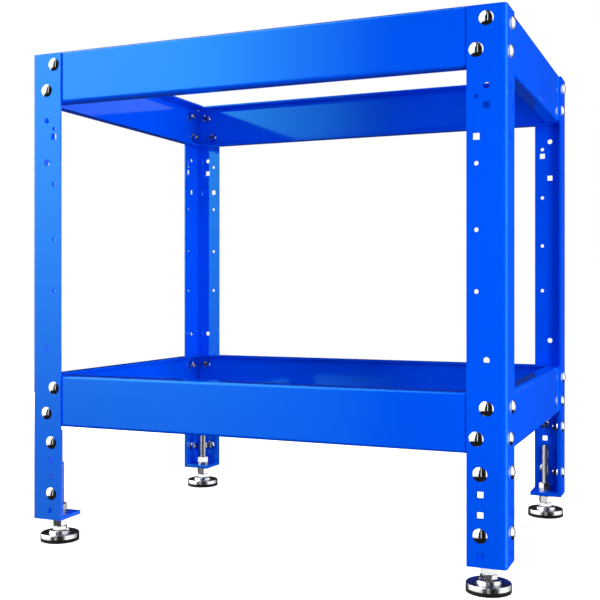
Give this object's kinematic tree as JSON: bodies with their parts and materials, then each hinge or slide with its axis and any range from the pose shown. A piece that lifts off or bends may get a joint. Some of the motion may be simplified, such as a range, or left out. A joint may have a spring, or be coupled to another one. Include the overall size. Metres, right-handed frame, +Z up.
{
  "type": "steel shop stand",
  "caption": "Bolted steel shop stand with angle legs, upper and lower rings of mitred channel rails, and swivel feet that screw up and down.",
  "frame": {"origin": "on the floor, under the middle of the stand's plan", "axes": "+X along the long side to the right as seen from the front, -Y to the front, +Z up"},
  "size_m": [0.7206, 0.5174, 0.7345],
  "materials": {
    "blue_paint": "gloss powder coat",
    "bolt_chrome": "polished plate",
    "bright_zinc": "bright zinc plate",
    "black_rubber": "matt moulded rubber"
  },
  "bodies": {
    "frame": {"leg_front_left": "blue_paint", "leg_front_right": "blue_paint", "leg_back_right": "blue_paint", "leg_back_left": "blue_paint", "top_rail_front": "blue_paint", "top_rail_right": "blue_paint", "top_rail_back": "blue_paint", "top_rail_left": "blue_paint", "shelf_rail_front": "blue_paint", "shelf_rail_right": "blue_paint", "shelf_rail_back": "blue_paint", "shelf_rail_left": "blue_paint", "foot_bracket_front_left": "blue_paint", "foot_bracket_front_right": "blue_paint", "foot_bracket_back_right": "blue_paint", "foot_bracket_back_left": "blue_paint", "bracket_bolt_front_left_1": "bolt_chrome", "bracket_bolt_front_left_2": "bolt_chrome", "bracket_bolt_front_left_3": "bolt_chrome", "bracket_bolt_front_left_4": "bolt_chrome", "bracket_bolt_front_right_1": "bolt_chrome", "bracket_bolt_front_right_2": "bolt_chrome", "bracket_bolt_front_right_3": "bolt_chrome", "bracket_bolt_front_right_4": "bolt_chrome", "bracket_bolt_back_right_1": "bolt_chrome", "bracket_bolt_back_right_2": "bolt_chrome", "bracket_bolt_back_right_3": "bolt_chrome", "bracket_bolt_back_right_4": "bolt_chrome", "bracket_bolt_back_left_1": "bolt_chrome", "bracket_bolt_back_left_2": "bolt_chrome", "bracket_bolt_back_left_3": "bolt_chrome", "bracket_bolt_back_left_4": "bolt_chrome", "lower_washer_front_left": "bright_zinc", "lower_washer_front_right": "bright_zinc", "lower_washer_back_right": "bright_zinc", "lower_washer_back_left": "bright_zinc", "upper_washer_front_left": "bright_zinc", "upper_washer_front_right": "bright_zinc", "upper_washer_back_right": "bright_zinc", "upper_washer_back_left": "bright_zinc"},
    "stem_front_left": {"foot_stem_front_left": "bright_zinc"},
    "stem_front_right": {"foot_stem_front_right": "bright_zinc"},
    "stem_back_right": {"foot_stem_back_right": "bright_zinc"},
    "stem_back_left": {"foot_stem_back_left": "bright_zinc"},
    "nuts_front_left": {"lower_nut_front_left": "bright_zinc", "upper_nut_front_left": "bright_zinc"},
    "nuts_front_right": {"lower_nut_front_right": "bright_zinc", "upper_nut_front_right": "bright_zinc"},
    "nuts_back_right": {"lower_nut_back_right": "bright_zinc", "upper_nut_back_right": "bright_zinc"},
    "nuts_back_left": {"lower_nut_back_left": "bright_zinc", "upper_nut_back_left": "bright_zinc"},
    "swivel_front_left": {"foot_cup_front_left": "bright_zinc", "foot_pad_front_left": "black_rubber"},
    "swivel_front_right": {"foot_cup_front_right": "bright_zinc", "foot_pad_front_right": "black_rubber"},
    "swivel_back_right": {"foot_cup_back_right": "bright_zinc", "foot_pad_back_right": "black_rubber"},
    "swivel_back_left": {"foot_cup_back_left": "bright_zinc", "foot_pad_back_left": "black_rubber"}
  },
  "joints": [
    {"name": "nuts_turn_front_left", "type": "hinge", "parent": "frame", "child": "nuts_front_left", "pos_m": [-0.3273, -0.2257, 0.036], "axis": [0, 0, 1], "range_deg": [0, 10080]},
    {"name": "nuts_turn_front_right", "type": "hinge", "parent": "frame", "child": "nuts_front_right", "pos_m": [0.3273, -0.2257, 0.036], "axis": [0, 0, 1], "range_deg": [0, 10080]},
    {"name": "nuts_turn_back_right", "type": "hinge", "parent": "frame", "child": "nuts_back_right", "pos_m": [0.3273, 0.2257, 0.036], "axis": [0, 0, 1], "range_deg": [0, 10080]},
    {"name": "nuts_turn_back_left", "type": "hinge", "parent": "frame", "child": "nuts_back_left", "pos_m": [-0.3273, 0.2257, 0.036], "axis": [0, 0, 1], "range_deg": [0, 10080]},
    {"name": "foot_height_front_left", "type": "slide", "parent": "frame", "child": "stem_front_left", "axis": [0, 0, -1], "range_m": [0, 0.0547]},
    {"name": "foot_height_front_right", "type": "slide", "parent": "frame", "child": "stem_front_right", "axis": [0, 0, -1], "range_m": [0, 0.0547]},
    {"name": "foot_height_back_right", "type": "slide", "parent": "frame", "child": "stem_back_right", "axis": [0, 0, -1], "range_m": [0, 0.0547]},
    {"name": "foot_height_back_left", "type": "slide", "parent": "frame", "child": "stem_back_left", "axis": [0, 0, -1], "range_m": [0, 0.0547]},
    {"name": "foot_tilt_front_left", "type": "hinge", "parent": "stem_front_left", "child": "swivel_front_left", "pos_m": [-0.3273, -0.2257, 0.0095], "axis": [1, 0, 0], "range_deg": [-7, 7]},
    {"name": "foot_tilt_front_right", "type": "hinge", "parent": "stem_front_right", "child": "swivel_front_right", "pos_m": [0.3273, -0.2257, 0.0095], "axis": [1, 0, 0], "range_deg": [-7, 7]},
    {"name": "foot_tilt_back_right", "type": "hinge", "parent": "stem_back_right", "child": "swivel_back_right", "pos_m": [0.3273, 0.2257, 0.0095], "axis": [1, 0, 0], "range_deg": [-7, 7]},
    {"name": "foot_tilt_back_left", "type": "hinge", "parent": "stem_back_left", "child": "swivel_back_left", "pos_m": [-0.3273, 0.2257, 0.0095], "axis": [1, 0, 0], "range_deg": [-7, 7]}
  ],
  "couplings": [
    {"joint": "nuts_turn_front_left", "follows": "foot_height_front_left", "rad_per_m": 3215.8},
    {"joint": "nuts_turn_front_right", "follows": "foot_height_front_right", "rad_per_m": 3215.8},
    {"joint": "nuts_turn_back_right", "follows": "foot_height_back_right", "rad_per_m": 3215.8},
    {"joint": "nuts_turn_back_left", "follows": "foot_height_back_left", "rad_per_m": 3215.8}
  ]
}
